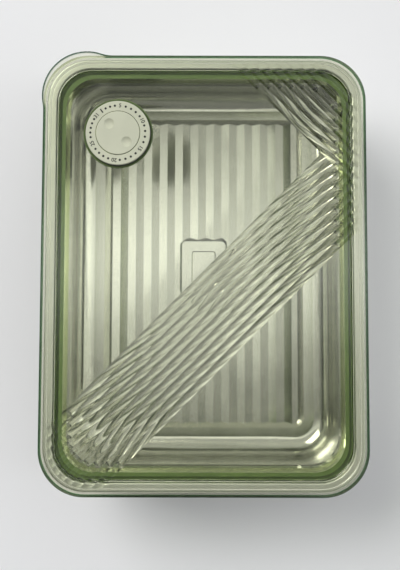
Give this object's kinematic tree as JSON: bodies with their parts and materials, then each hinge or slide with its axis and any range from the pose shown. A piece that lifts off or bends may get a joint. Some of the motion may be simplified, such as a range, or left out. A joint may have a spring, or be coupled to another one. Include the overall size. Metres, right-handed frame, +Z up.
{
  "type": "vacuum food storage container",
  "caption": "Rectangular stainless steel food box with a pleated floor, a clear green recessed lid, a vacuum release button and a turning date ring at one corner.",
  "frame": {"origin": "centre of the box's base, on the surface that the box stands on", "axes": "+X along the short side, +Y along the long side toward the date ring's end, +Z up through the lid"},
  "size_m": [0.2009, 0.2716, 0.0773],
  "materials": {
    "steel": "satin",
    "clear_green_plastic": "clear tinted gloss",
    "green_silicone": "matte",
    "pale_green_plastic": "satin",
    "spring_steel": "bright"
  },
  "bodies": {
    "box": {"steel_box": "steel"},
    "lid": {"lid_shell": "clear_green_plastic", "lid_gasket": "green_silicone", "housing_seal": "green_silicone", "valve_housing": "clear_green_plastic", "retaining_nut": "pale_green_plastic", "umbrella_valve": "green_silicone", "splash_guard": "pale_green_plastic", "button_spring": "spring_steel"},
    "date_ring": {"date_ring": "pale_green_plastic"},
    "button": {"valve_button": "pale_green_plastic", "stem_seal": "green_silicone", "stem_clip": "spring_steel"}
  },
  "joints": [
    {"name": "lid_lift", "type": "slide", "parent": "box", "child": "lid", "axis": [0, 0, 1], "range_m": [0, 0.12]},
    {"name": "date_ring_turn", "type": "hinge", "parent": "lid", "child": "date_ring", "pos_m": [-0.0534, 0.0856, 0.075], "axis": [0, 0, 1], "continuous": true},
    {"name": "button_press", "type": "slide", "parent": "lid", "child": "button", "axis": [0, 0, 1], "range_m": [-0.0015, 0], "stiffness_N_per_m": 1500, "springref_m": 0.0005, "deforming": ["button_spring"]}
  ]
}
